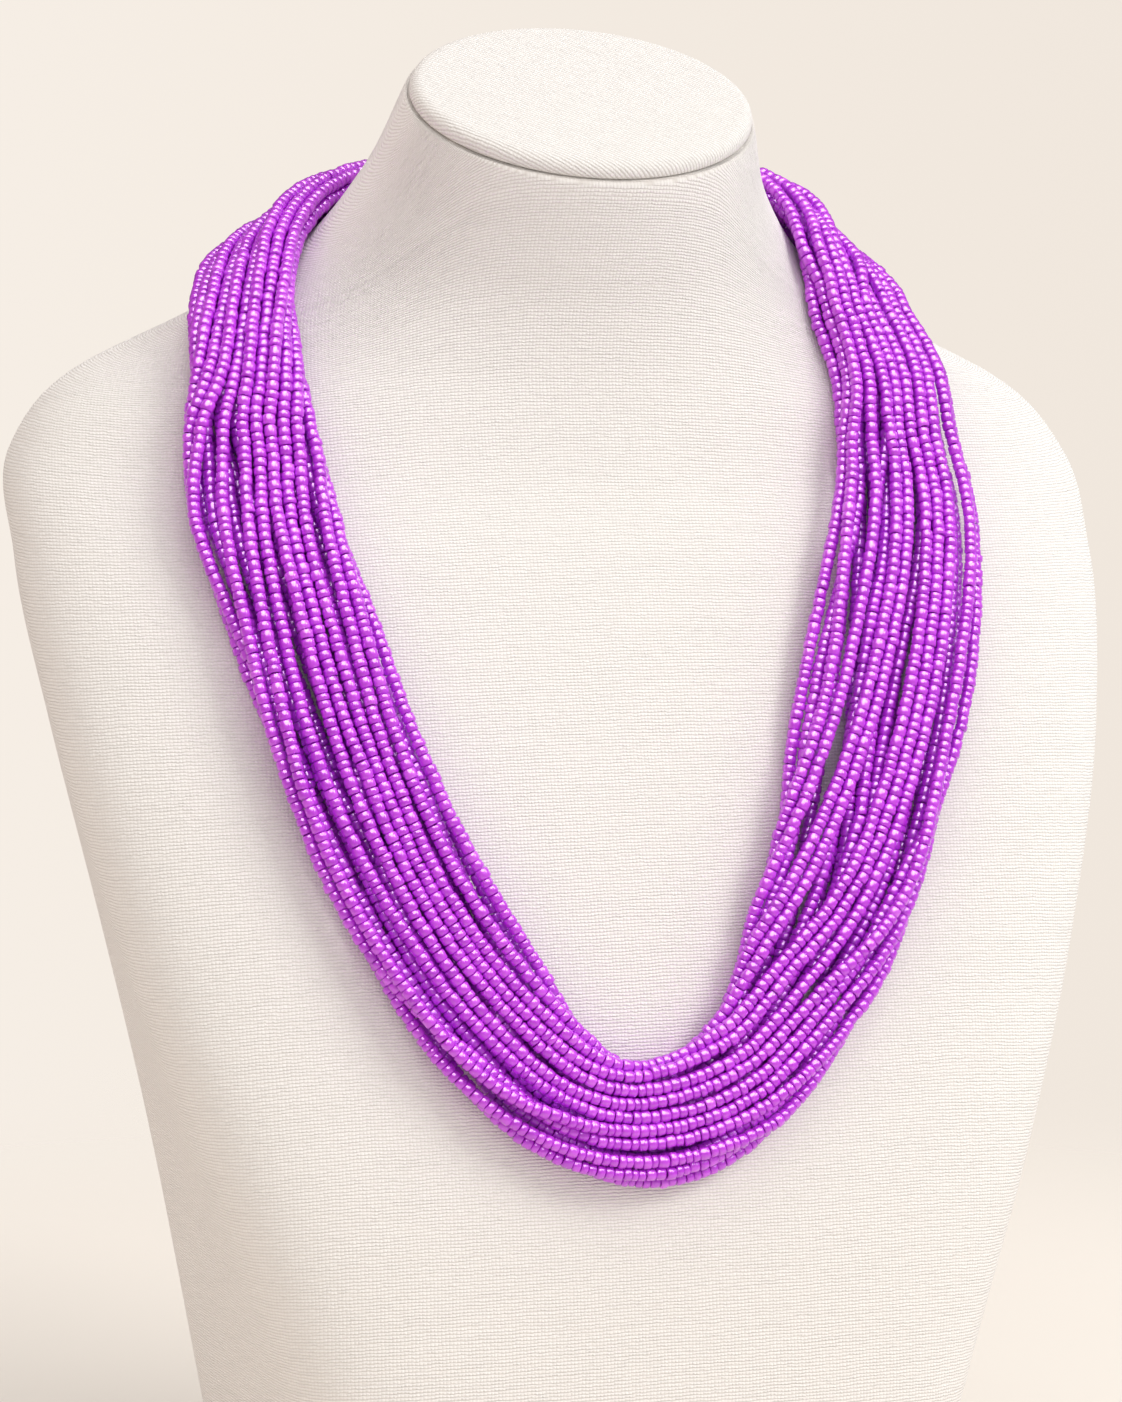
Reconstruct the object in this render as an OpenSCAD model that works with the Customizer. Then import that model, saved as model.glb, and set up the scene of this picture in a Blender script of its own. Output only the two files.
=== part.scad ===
// Bead mala on a neck bust, in millimetres.
// The origin lies on the flat foot, on the plane that both halves share. Plus Z is up and the chest faces minus Y.
// Twenty four bead strings lie three deep round the neck, over the shoulders and down the chest.
// Eighteen of them turn to and fro round the other six, so the upper ones cross the lower ones at a slant.
// Each string is one solid, and both its ends stop at a plain bar clasp behind the neck.

/* [Bust] */
// Scale of the bust and the necklace together
size_scale = 1; // [0.8:0.01:1.2]
// Sides of each bust section
bust_sides = 48; // [32:4:64]
// Bevel round the foot
foot_bevel = 1.6; // [0.5:0.1:4]
// Inset of the neck rim under the cap
rim_inset = 0.7; // [0.3:0.1:3]
// Height of the neck rim's rounding
rim_rise = 0.6; // [0.2:0.1:2]

/* [Neck cap] */
// Gap of the seam between the neck and its cap
seam_gap = 0.25; // [0.1:0.05:1]
// Thickness of the cap
cap_thick = 3.8; // [2:0.1:8]
// Inset of the cap from the neck's outline
cap_inset = 1.1; // [0.5:0.1:3]
// Radius of the rounding on the cap's upper edge
cap_round = 2.6; // [1:0.1:3.5]

/* [Bead strings] */
// Distance between the layers
pitch = 3.1; // [3:0.05:3.4]
// Diameter of a string
string_d = 2.15; // [2:0.05:2.2]
// Sides of a string
string_sides = 6; // [6:1:12]
// Distance of the outermost threads from the band's edges
edge_inset = 1.5; // [1:0.1:2.5]
// Distance of the inner strings from those that turn round them
core_inset = 1; // [0.8:0.1:2]
// How far the strings turn, 1 as in the table
turning = 1; // [0:0.1:1]

/* [Clasp] */
// Half the angle that the clasp bar takes up behind the neck
clasp_half_angle = 11.2; // [6:0.1:11.5]
// Clearance of the bar over the neck
clasp_foot = 0.8; // [0.4:0.1:2]
// Height of the bar's back over the neck
clasp_back = 11.4; // [9:0.1:14]
// How far the bar reaches past the outer strings
clasp_past = 0.9; // [0.3:0.1:3]
// Bevel of the bar
clasp_bevel = 1.4; // [0.4:0.1:3]

/* [Hidden] */

// Bust sections from the foot to the neck's rim.
// Columns: level, half width, half depth, middle's y, squareness, how much wider the back is, slope of the section.
section_rows = [
    [0, 76.5, 50, -12.5, 6.0, 0.20, 0],
    [50, 87.5, 49.5, -11, 6.0, 0.14, 0],
    [100, 100.5, 47, -8, 5.6, 0.03, 0],
    [150, 114, 42.5, -0.5, 5.0, -0.08, 0],
    [200, 126, 37.5, 9.5, 4.2, -0.15, 0],
    [238, 132, 34.5, 20, 3.3, -0.12, 0],
    [262, 131, 33, 26.5, 2.7, 0, 0.15],
    [278, 117, 32.5, 29, 2.4, 0, 0.22],
    [291, 89.5, 31.5, 29, 2.15, 0, 0.31],
    [305, 66, 30, 26, 2.0, 0, 0.38],
    [323, 50, 28.5, 19, 2.0, 0, 0.53],
    [341, 42.5, 26, 9.5, 2.0, 0, 0.70]];
rim_level = 341;

// The band that the strings fill, from the clasp over one shoulder, round the chest and back.
// Columns: number, inner edge's angle and level, outer edge's angle and level, lift of the lowest layer, steps to the next row.
band_rows = [
    [0, 102, 319, 102, 297, 2.5, 1],
    [1, 136, 319.5, 133, 296.5, 2.2, 2],
    [2, 160, 318.5, 151, 296, 2.3, 1],
    [3, 174, 314.5, 164, 295, 2.5, 2],
    [4, 190.5, 301.5, 180.5, 291.4, 2.1, 2],
    [5, 201, 285, 192, 282, 1.9, 2],
    [6, 205.4, 268, 195.2, 267, 1.9, 2],
    [7, 210, 236.5, 198.3, 236, 2.2, 2],
    [8, 218.5, 197, 203.5, 194, 2.2, 1],
    [9, 228.5, 168, 209, 161.5, 1.9, 1],
    [10, 241, 145, 218, 134, 1.8, 2],
    [11, 255.5, 129, 233.5, 112, 1.8, 2],
    [12, 272, 127.5, 265, 99.5, 1.8, 2],
    [13, 288, 136.5, 297.5, 108.5, 1.8, 2],
    [14, 299.5, 155.5, 316.5, 131, 2.0, 2],
    [15, 308.5, 174.5, 328, 158, 2.2, 1],
    [16, 318, 201.5, 335, 193.5, 2.2, 1],
    [17, 325.5, 229, 339.5, 224, 2.2, 1],
    [18, 330.5, 253.5, 342.5, 251, 2.0, 1],
    [19, 333, 276, 345, 276, 2.0, 2],
    [20, 339, 297, 352, 289.5, 2.1, 1],
    [21, 343.5, 306.5, 358, 293.8, 2.4, 1],
    [22, 349, 316, 366, 296.5, 2.7, 1],
    [23, 360, 321, 377, 298, 3.0, 1],
    [24, 374, 322, 389, 298.5, 3.1, 1],
    [25, 395, 321.5, 404, 298.5, 3.1, 1],
    [26, 438, 320, 438, 298, 2.8, 1]];

// How far the outer strings have turned round the inner ones. Columns: number of the band row, turn in strings,
// where more moves the upper layer outward.
turn_rows = [
    [0, -1], [3, -0.9], [4, 0], [5, 1.8], [6, 3.1], [7, 4.4], [8, 5.5], [9, 5.8], [10, 5], [11, 3.4],
    [12, 2.4], [13, 3.7], [14, 5.5], [15, 6.8], [16, 7.6], [17, 7.9], [18, 7.9], [20, 7.6], [23, 7.1], [26, 7]];
ring_count = 18;
core_count = 6;

// Smooth reading of a table: each row's slope weighs the steps on its two sides.
function step_of(rows, i, c) = (rows[i + 1][c] - rows[i][c]) / (rows[i + 1][0] - rows[i][0]);
function gap_of(rows, i) = rows[i + 1][0] - rows[i][0];
function mean_of(rows, i, c) =
    (gap_of(rows, i) * step_of(rows, i - 1, c) + gap_of(rows, i - 1) * step_of(rows, i, c))
    / (gap_of(rows, i - 1) + gap_of(rows, i));
function slope_of(rows, i, c) =
    i == 0 ? step_of(rows, 0, c)
    : i == len(rows) - 1 ? step_of(rows, i - 1, c)
    : mean_of(rows, i, c);
function slopes_of(rows) = [for (i = [0:len(rows) - 1]) [for (c = [0:len(rows[0]) - 1]) slope_of(rows, i, c)]];
function row_at(rows, x) = max([0, for (i = [0:len(rows) - 2]) if (rows[i][0] <= x) i]);
function blend(a, b, ma, mb, h, u) =
    a * (1 + 2 * u) * pow(1 - u, 2) + h * ma * u * pow(1 - u, 2)
    + b * u * u * (3 - 2 * u) + h * mb * u * u * (u - 1);
function smooth_row(rows, slopes, x) =
    let(i = row_at(rows, x), h = gap_of(rows, i), u = (x - rows[i][0]) / h)
    [for (c = [0:len(rows[0]) - 1]) blend(rows[i][c], rows[i + 1][c], slopes[i][c], slopes[i + 1][c], h, u)];

section_slopes = slopes_of(section_rows);
band_slopes = slopes_of(band_rows);
function section_at(level) = smooth_row(section_rows, section_slopes, level);
function band_at(t) = smooth_row(band_rows, band_slopes, t);

// A point of the bust's skin, from its level and its angle round the section's middle.
function reach(s, a, grow) =
    pow(
        pow(abs(cos(a) / ((s[1] + grow) * (1 + s[5] * sin(a)))), s[4])
        + pow(abs(sin(a) / (s[2] + grow)), s[4]),
        -1 / s[4]
    );
function skin_of(s, a, grow) =
    let(r = reach(s, a, grow), y = r * sin(a))
    [r * cos(a), s[3] + y, s[0] + s[6] * y];
function skin(level, a, grow = 0) = skin_of(section_at(level), a, grow);
function unit(v) = v / norm(v);
function skin_normal(level, a) =
    unit(cross(skin(level, a + 0.06) - skin(level, a - 0.06), skin(level + 0.05, a) - skin(level - 0.05, a)));

// The outline's angles crowd at the corners of a square section.
function corner_angle(s, q) =
    atan2(
        (s[2]) * sign(sin(q)) * pow(abs(sin(q)), 2 / s[4]),
        (s[1]) * sign(cos(q)) * pow(abs(cos(q)), 2 / s[4])
    );
function outline(level, grow = 0) =
    let(s = section_at(level))
    [for (i = [0:bust_sides - 1]) skin_of(s, corner_angle(s, (i + 0.5) * 360 / bust_sides), grow)];
function moved(points, by) = [for (p = points) p + by];

// A closed solid from rings of equal count, the first one lowest.
module loft(rings) {
    m = len(rings[0]);
    n = len(rings);
    points = [for (r = rings) for (p = r) p];
    walls = [
        for (k = [0:n - 2])
            for (i = [0:m - 1])
                let(j = (i + 1) % m)
                each [
                    [k * m + i, (k + 1) * m + i, (k + 1) * m + j],
                    [k * m + i, (k + 1) * m + j, k * m + j]
                ]
    ];
    foot = [[for (i = [0:m - 1]) i]];
    head = [[for (i = [m - 1:-1:0]) (n - 1) * m + i]];
    polyhedron(points = points, faces = concat(foot, walls, head), convexity = 8);
}

// The neck's top plane leans to the front, and this points straight out of it.
rim_row = section_rows[len(section_rows) - 1];
rim_out = unit([0, -rim_row[6], 1]);

ring_levels = concat(
    [foot_bevel],
    [for (z = [28:28:224]) z],
    [for (z = [238:9:256]) z],
    [for (z = [262:5.5:300]) z],
    [for (z = [303:6.5:336]) z],
    [rim_level]
);

module bust_shape() {
    rings = concat(
        [moved(outline(0, -foot_bevel), [0, 0, 0])],
        [for (z = ring_levels) outline(z)],
        [moved(outline(rim_level, -rim_inset), rim_out * rim_rise)]
    );
    loft(rings);
}

cap_start = rim_rise + seam_gap;
// Columns: how far in from the neck's outline, how far out along the cap's axis.
cap_rows = concat(
    [[cap_inset + 0.5, 0], [cap_inset, 0.5]],
    [for (a = [0:22.5:90]) [
        cap_inset + cap_round * (1 - cos(a)),
        cap_thick - cap_round + cap_round * sin(a)
    ]]
);

module cap_shape() {
    loft([for (c = cap_rows) moved(outline(rim_level, -c[0]), rim_out * (cap_start + c[1]))]);
}

// Stations along the band, more of them where it bends.
stations = concat(
    [for (row = band_rows) if (row[0] < len(band_rows) - 1) for (i = [0:row[6] - 1]) row[0] + i / row[6]],
    [len(band_rows) - 1]
);
last = len(stations) - 1;
band = [for (t = stations) band_at(t)];
function across(b, q, up = 0) =
    let(a = b[1] + (b[3] - b[1]) * q, z = b[2] + (b[4] - b[2]) * q)
    up == 0 ? skin(z, a) : skin(z, a) + skin_normal(z, a) * up;

// The distance across the band from its inner edge at the middle layer, and the share of the way it belongs to.
parts_across = 8;
middle_height = 5.4;
function running(list, i = 0, sum = 0) =
    i == len(list) ? [sum] : concat([sum], running(list, i + 1, sum + list[i]));
function shares(b) =
    let(
        line = [for (i = [0:parts_across]) across(b, i / parts_across, middle_height)],
        far = running([for (i = [0:parts_across - 1]) norm(line[i + 1] - line[i])])
    )
    [for (i = [0:parts_across]) [far[i], i / parts_across]];
share_rows = [for (b = band) shares(b)];
widths = [for (s = share_rows) s[parts_across][0]];

// Where the outer strings run. Each is some way round a flat loop: the upper layer outward, half a turn at the band's
// outer edge, the lower layer back inward and half a turn at its inner edge.
// A place is the distance from the band's inner edge and the height over the lowest layer.
turn_slopes = slopes_of(turn_rows);
turns = [for (t = stations) turning * smooth_row(turn_rows, turn_slopes, t)[1]];
half_turn = PI * pitch;
function loop_place(s, flat) =
    s < flat ? [edge_inset + pitch + s, 2 * pitch]
    : s < flat + half_turn
        ? let(a = (s - flat) / pitch * 180 / PI) [edge_inset + pitch + flat + pitch * sin(a), pitch * (1 + cos(a))]
    : s < 2 * flat + half_turn ? [edge_inset + pitch + 2 * flat + half_turn - s, 0]
    : let(a = (s - 2 * flat - half_turn) / pitch * 180 / PI) [edge_inset + pitch * (1 - sin(a)), pitch * (1 - cos(a))];
function part_of_one(x) = x - floor(x);
function ring_place(i, k) =
    let(flat = widths[k] - 2 * (edge_inset + pitch))
    loop_place(part_of_one((i + turns[k]) / ring_count) * 2 * (flat + half_turn), flat);
// The inner strings lie side by side between the two layers.
function core_place(i, k) =
    let(start = edge_inset + pitch + core_inset)
    [start + (widths[k] - 2 * start) * i / (core_count - 1), pitch];
function place(i, k) = i < ring_count ? ring_place(i, k) : core_place(i - ring_count, k);

// One string: its thread's points and the outward direction at each.
function thread(i) =
    [for (k = [0:last])
        let(
            p = place(i, k),
            q = lookup(p[0], share_rows[k]),
            a = band[k][1] + (band[k][3] - band[k][1]) * q,
            z = band[k][2] + (band[k][4] - band[k][2]) * q,
            out = skin_normal(z, a)
        )
        [skin(z, a) + out * (band[k][5] + p[1]), out]];
function heading(path, k) = unit(path[min(k + 1, last)][0] - path[max(k - 1, 0)][0]);
function thread_ring(path, k) =
    let(
        go = heading(path, k),
        side = unit(cross(go, path[k][1])),
        out = cross(side, go)
    )
    [for (j = [0:string_sides - 1])
        let(a = (j + 0.5) * 360 / string_sides)
        path[k][0] + string_d / 2 * (cos(a) * side + sin(a) * out)];

module bead_string(i) {
    path = thread(i);
    scale(size_scale) color([0.66, 0.24, 0.86]) loft([for (k = [0:last]) thread_ring(path, k)]);
}

// The clasp bar follows the back of the neck and takes the ends of all the strings.
clasp_mid = band_at(0);
clasp_width = widths[0];
function clasp_point(a, u, v) =
    let(
        q = u / clasp_width,
        z = clasp_mid[2] + (clasp_mid[4] - clasp_mid[2]) * q
    )
    skin(z, a) + skin_normal(z, a) * v;
function clasp_ring(a, inset) =
    let(
        lo = -clasp_past + inset,
        hi = clasp_width + clasp_past - inset,
        foot = clasp_foot + inset,
        back = clasp_back - inset,
        e = clasp_bevel
    )
    [
        clasp_point(a, lo, foot + e), clasp_point(a, lo, back - e),
        clasp_point(a, lo + e, back), clasp_point(a, (lo + hi) / 2, back), clasp_point(a, hi - e, back),
        clasp_point(a, hi, back - e), clasp_point(a, hi, foot + e),
        clasp_point(a, hi - e, foot), clasp_point(a, (lo + hi) / 2, foot), clasp_point(a, lo + e, foot)
    ];

module clasp_shape() {
    n = 6;
    loft([for (i = [0:n]) clasp_ring(90 + clasp_half_angle * (1 - 2 * i / n), (i == 0 || i == n) ? 0.5 : 0)]);
}

module bust_body() {
    scale(size_scale) color([0.93, 0.90, 0.86]) bust_shape();
}
module neck_cap() {
    scale(size_scale) color([0.94, 0.91, 0.87]) cap_shape();
}
module clasp_bar() {
    scale(size_scale) color([0.55, 0.20, 0.72]) clasp_shape();
}
// The strings that turn round the others, in their order round the loop.
module bead_string_01() bead_string(0);
module bead_string_02() bead_string(1);
module bead_string_03() bead_string(2);
module bead_string_04() bead_string(3);
module bead_string_05() bead_string(4);
module bead_string_06() bead_string(5);
module bead_string_07() bead_string(6);
module bead_string_08() bead_string(7);
module bead_string_09() bead_string(8);
module bead_string_10() bead_string(9);
module bead_string_11() bead_string(10);
module bead_string_12() bead_string(11);
module bead_string_13() bead_string(12);
module bead_string_14() bead_string(13);
module bead_string_15() bead_string(14);
module bead_string_16() bead_string(15);
module bead_string_17() bead_string(16);
module bead_string_18() bead_string(17);
// The inner ones, from the inner edge outward.
module bead_string_19() bead_string(18);
module bead_string_20() bead_string(19);
module bead_string_21() bead_string(20);
module bead_string_22() bead_string(21);
module bead_string_23() bead_string(22);
module bead_string_24() bead_string(23);

bust_body();
neck_cap();
clasp_bar();
bead_string_01();
bead_string_02();
bead_string_03();
bead_string_04();
bead_string_05();
bead_string_06();
bead_string_07();
bead_string_08();
bead_string_09();
bead_string_10();
bead_string_11();
bead_string_12();
bead_string_13();
bead_string_14();
bead_string_15();
bead_string_16();
bead_string_17();
bead_string_18();
bead_string_19();
bead_string_20();
bead_string_21();
bead_string_22();
bead_string_23();
bead_string_24();
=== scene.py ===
# %% [markdown]
# # A many-strand seed bead necklace on a linen neck bust
#
# The object is a necklace of twenty-four strings of violet glass seed beads,
# worn on a linen-covered neck bust such as a shop window or a jeweller's table
# has. The strings are gathered by a bar clasp behind the neck, fall over the
# shoulders and meet in a soft U on the chest.
#
# The solid model of the bust, the cap on its neck, the clasp and each string
# as a plain tube is already made. This lesson dresses it: the camera and the
# light come first, then the linen, the bust and its cap, then the beads, which
# are threaded one by one along the routes of the tubes, and last the clasp.

# %% Load the fixed frame
import math

import bpy
import numpy as np
from mathutils import Matrix, Vector


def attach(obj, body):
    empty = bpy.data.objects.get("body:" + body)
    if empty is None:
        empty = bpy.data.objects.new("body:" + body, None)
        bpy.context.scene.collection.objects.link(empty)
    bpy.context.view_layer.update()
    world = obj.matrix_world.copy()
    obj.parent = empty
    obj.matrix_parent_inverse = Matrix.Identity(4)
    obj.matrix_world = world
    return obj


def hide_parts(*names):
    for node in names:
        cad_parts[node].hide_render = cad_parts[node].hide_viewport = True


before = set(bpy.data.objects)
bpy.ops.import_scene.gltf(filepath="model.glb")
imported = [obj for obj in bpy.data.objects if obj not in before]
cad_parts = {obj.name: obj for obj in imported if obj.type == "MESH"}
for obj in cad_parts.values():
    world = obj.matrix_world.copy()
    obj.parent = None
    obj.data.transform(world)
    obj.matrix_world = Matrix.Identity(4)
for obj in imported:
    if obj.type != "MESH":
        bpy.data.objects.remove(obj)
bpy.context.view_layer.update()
MM = 0.001
print("solids loaded:", len(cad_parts))

# %% [markdown]
# ## The camera
#
# The photograph was taken from a little to the left of the bust's front and a
# little above its chest, with a long lens, so the far shoulder is hardly
# smaller than the near one. The camera is placed by the same measures as a
# photographer would note them: what it looks at, how far away it stands, how
# far round and how high, and the lens.

# %% Camera at the photograph's angle
LOOK_AT = Vector((-6.7, 0, 203.2)) * MM
CAMERA_DISTANCE = 950 * MM
CAMERA_YAW, CAMERA_ELEVATION, CAMERA_ROLL = (math.radians(v) for v in (18.4, 6.0, 0.5))
FRAME_HEIGHT_PX = 1402
FOCAL_PX = 4048
SENSOR_MM = 36
CLIP_START, CLIP_END = 0.02, 20


def place_camera():
    back = Vector((
        -math.sin(CAMERA_YAW) * math.cos(CAMERA_ELEVATION),
        -math.cos(CAMERA_YAW) * math.cos(CAMERA_ELEVATION),
        math.sin(CAMERA_ELEVATION),
    ))
    right = (-back).cross(Vector((0, 0, 1))).normalized()
    up = right.cross(-back)
    c, s = math.cos(CAMERA_ROLL), math.sin(CAMERA_ROLL)
    turned_right, turned_up = c * right + s * up, -s * right + c * up
    turn = Matrix((turned_right, turned_up, back)).transposed()
    bpy.ops.object.camera_add(location=LOOK_AT + back * CAMERA_DISTANCE, rotation=turn.to_euler())
    camera = bpy.context.object
    camera.name = "photo_camera"
    camera.data.sensor_width = SENSOR_MM
    camera.data.lens = FOCAL_PX * SENSOR_MM / FRAME_HEIGHT_PX
    camera.data.clip_start, camera.data.clip_end = CLIP_START, CLIP_END
    bpy.context.scene.camera = camera
    print("lens, mm:", round(camera.data.lens, 1))


place_camera()

# %% [markdown]
# ## The room and its light
#
# The photograph is a bright catalogue picture: nearly everything is pale, and
# the form is read from soft shade. A large soft light stands to the right, in
# front and above. The pale room fills the rest, a little dimmer on the left,
# so the left side of the neck and the bust's flank fall into warm shade. The
# floor is a plain pale disc that fades into the room, so that no line is seen
# behind the bust from any side.

# %% Helpers for node trees
def node(tree, kind, inputs=None, **settings):
    """One node with its settings, and its inputs given as numbers, colours or other sockets."""
    made = tree.nodes.new(kind)
    for name, value in settings.items():
        setattr(made, name, value)
    for key, value in (inputs or {}).items():
        if isinstance(value, bpy.types.NodeSocket):
            tree.links.new(value, made.inputs[key])
        else:
            made.inputs[key].default_value = value
    return made


def calc(tree, operation, *values):
    """A math node on numbers or sockets; its result is the socket returned."""
    return node(tree, "ShaderNodeMath", dict(enumerate(values)), operation=operation).outputs[0]


def vector_calc(tree, operation, inputs, output="Vector"):
    """The same for places and directions; a single number is the output called Value."""
    return node(tree, "ShaderNodeVectorMath", inputs, operation=operation).outputs[output]


def step_up(tree, value, low, high, kind="LINEAR"):
    """0 up to the low value, 1 from the high one, and a rise between them."""
    return node(tree, "ShaderNodeMapRange", {"Value": value, "From Min": low, "From Max": high},
                interpolation_type=kind).outputs["Result"]


def ramp(tree, value, stops, interpolation="LINEAR"):
    """A colour ramp from stops of (place, colour)."""
    made = node(tree, "ShaderNodeValToRGB", {"Fac": value})
    band = made.color_ramp
    band.interpolation = interpolation
    while len(band.elements) < len(stops):
        band.elements.new(0.5)
    for element, (place, colour) in zip(band.elements, stops):
        element.position = place
        element.color = (*colour, 1)
    return made.outputs["Color"]


def mix_colour(tree, share, first, second):
    """A colour mix of values or sockets; a mix node has its colours at inputs 6 and 7 and at output 2."""
    first, second = ((*c, 1) if isinstance(c, tuple) else c for c in (first, second))
    return node(tree, "ShaderNodeMix", {0: share, 6: first, 7: second}, data_type="RGBA").outputs[2]


def mix_shader(tree, share, first, second):
    """Two shader nodes mixed by a share."""
    return node(tree, "ShaderNodeMixShader", {0: share, 1: first.outputs[0], 2: second.outputs[0]}).outputs[0]


def noise(tree, place, scale, detail, output="Fac"):
    """A soft noise through space."""
    made = node(tree, "ShaderNodeTexNoise", {"Vector": place, "Scale": scale, "Detail": detail})
    return made.outputs[output]


def new_material(name):
    """An empty node material and its tree."""
    material = bpy.data.materials.new(name)
    material.use_nodes = True
    material.node_tree.nodes.clear()
    return material, material.node_tree


def surface(tree, height, relief, look):
    """The material's surface: its look by the names of the shader's inputs, and a bump from a height."""
    bump = node(tree, "ShaderNodeBump", {"Distance": relief, "Height": height})
    shader = node(tree, "ShaderNodeBsdfPrincipled", {**look, "Normal": bump.outputs[0]})
    node(tree, "ShaderNodeOutputMaterial", {"Surface": shader.outputs[0]})


# %% Room colour and light
scene = bpy.context.scene
scene.view_settings.view_transform = "Standard"
scene.view_settings.look = "None"
scene.view_settings.exposure = 0
scene.view_settings.gamma = 1

# How bright the room is toward its walls, its ceiling and its floor; its front is the camera's side.
ROOM = {"right": 0.93, "left": 0.80, "back": 0.45, "front": 0.86, "ceiling": 0.91, "floor": 0.31}
WALLS = (("X", "right", "left"), ("Y", "back", "front"), ("Z", "ceiling", "floor"))
ROOM_COLOUR, LEFT_WALL_COLOUR = (1.0, 1.0, 1.0), (1.18, 0.99, 0.88)
# What the camera sees behind the bust: colours along a level direction, paler to the picture's left.
BACKDROP_ACROSS = (0.95, -0.31, 0.0)
BACKDROP = [(0.35, (0.956, 0.896, 0.831)), (0.50, (0.896, 0.823, 0.745)), (0.62, (0.858, 0.783, 0.708))]
# What the gloss of the beads mirrors: a dim room with one soft round window high in front.
WINDOW_WAY = (-0.16, -0.46, 0.87)
WINDOW_EDGE, WINDOW_CORE = math.cos(math.radians(39)), math.cos(math.radians(24))
WINDOW_BRIGHT, MIRRORED_ROOM = 8.5, 0.22


def room_brightness(tree, ray):
    """The room's brightness in a direction, each wall by its axis squared, and the left wall's share."""
    axes = node(tree, "ShaderNodeSeparateXYZ", {0: ray}).outputs
    total = 0.0
    for axis, positive, negative in WALLS:
        bright = calc(tree, "MULTIPLY_ADD", calc(tree, "GREATER_THAN", axes[axis], 0.0),
                      ROOM[positive] - ROOM[negative], ROOM[negative])
        share = calc(tree, "MULTIPLY", axes[axis], axes[axis])
        total = calc(tree, "MULTIPLY_ADD", share, bright, total)
    to_left = calc(tree, "MAXIMUM", calc(tree, "MULTIPLY", axes["X"], -1.0), 0.0)
    return total, calc(tree, "MULTIPLY", to_left, to_left)


def build_room():
    world = bpy.data.worlds.new("pale_room")
    scene.world = world
    world.use_nodes = True
    tree = world.node_tree
    tree.nodes.clear()
    ray = node(tree, "ShaderNodeTexCoord").outputs["Generated"]
    bright, left_share = room_brightness(tree, ray)
    fill = mix_colour(tree, left_share, ROOM_COLOUR, LEFT_WALL_COLOUR)
    across = vector_calc(tree, "DOT_PRODUCT", {0: ray, 1: BACKDROP_ACROSS}, "Value")
    seen = ramp(tree, calc(tree, "MULTIPLY_ADD", across, 0.5, 0.5), BACKDROP, "B_SPLINE")
    to_window = vector_calc(tree, "DOT_PRODUCT", {0: ray, 1: WINDOW_WAY}, "Value")
    window = step_up(tree, to_window, WINDOW_EDGE, WINDOW_CORE, "SMOOTHSTEP")
    dimmed = calc(tree, "MULTIPLY", bright, MIRRORED_ROOM)
    mirrored = calc(tree, "MULTIPLY_ADD", window, WINDOW_BRIGHT, dimmed)
    path = node(tree, "ShaderNodeLightPath").outputs
    strength = node(tree, "ShaderNodeMix", {"Factor": path["Is Glossy Ray"], "A": bright, "B": mirrored},
                    data_type="FLOAT").outputs[0]
    light = node(tree, "ShaderNodeBackground", {"Color": fill, "Strength": strength})
    backdrop = node(tree, "ShaderNodeBackground", {"Color": seen, "Strength": 1.0})
    node(tree, "ShaderNodeOutputWorld", {"Surface": mix_shader(tree, path["Is Camera Ray"], light, backdrop)})
    print("room nodes:", len(tree.nodes))


build_room()

# %% Two soft boxes
LIGHTS_AIM = Vector((0, 0, 0.2))


def soft_light(name, place, size, watts, colour):
    """A square soft box at a place in metres, turned to the middle of the bust."""
    place = Vector(place)
    bpy.ops.object.light_add(type="AREA", location=place)
    light = bpy.context.object
    light.name = name
    light.rotation_euler = (LIGHTS_AIM - place).to_track_quat("-Z", "Y").to_euler()
    light.data.shape = "SQUARE"
    light.data.size = size
    light.data.energy = watts
    light.data.color = colour
    print(name, "stands", round((LIGHTS_AIM - place).length, 2), "m away")


soft_light("key_light", (1.25, -1.15, 1.45), size=0.85, watts=19, colour=(1.0, 0.985, 0.965))
soft_light("top_light", (0.2, -0.2, 1.9), size=0.9, watts=4, colour=(1.0, 0.99, 0.975))

# %% Floor that fades into the room
FLOOR_SIDES, FLOOR_RADIUS, FLOOR_DROP = 96, 1.4, 0.0004
FADE_FROM, FADE_TO = 0.26, 0.62
FLOOR_COLOUR = (0.83, 0.775, 0.71, 1)


def build_floor():
    bpy.ops.mesh.primitive_circle_add(
        vertices=FLOOR_SIDES, radius=FLOOR_RADIUS, fill_type="NGON", location=(0, 0, -FLOOR_DROP))
    floor = bpy.context.object
    floor.name = "studio_floor"
    material, tree = new_material("pale_floor")
    place = node(tree, "ShaderNodeTexCoord").outputs["Object"]
    away = vector_calc(tree, "LENGTH", {0: place}, "Value")
    fade = step_up(tree, away, FADE_FROM, FADE_TO, "SMOOTHERSTEP")
    paint = node(tree, "ShaderNodeBsdfDiffuse", {"Color": FLOOR_COLOUR})
    clear = node(tree, "ShaderNodeBsdfTransparent")
    node(tree, "ShaderNodeOutputMaterial", {"Surface": mix_shader(tree, fade, paint, clear)})
    floor.data.materials.append(material)
    print("floor fades out from", FADE_FROM, "to", FADE_TO, "m")


build_floor()

# %% [markdown]
# ## The shape of the bust, in numbers
#
# A neck bust is carved or moulded over a form and then covered in cloth. Its
# shape is read from a short table of cross-sections, from the foot to the neck:
# how wide and deep the outline is, where its middle lies, how square it is, how
# it tapers to the back and how much its plane leans to the front. Reading the
# table smoothly gives a point on the skin for any height and any angle, and
# both the bust and the strings of beads that lie on it use that one reading.

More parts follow.
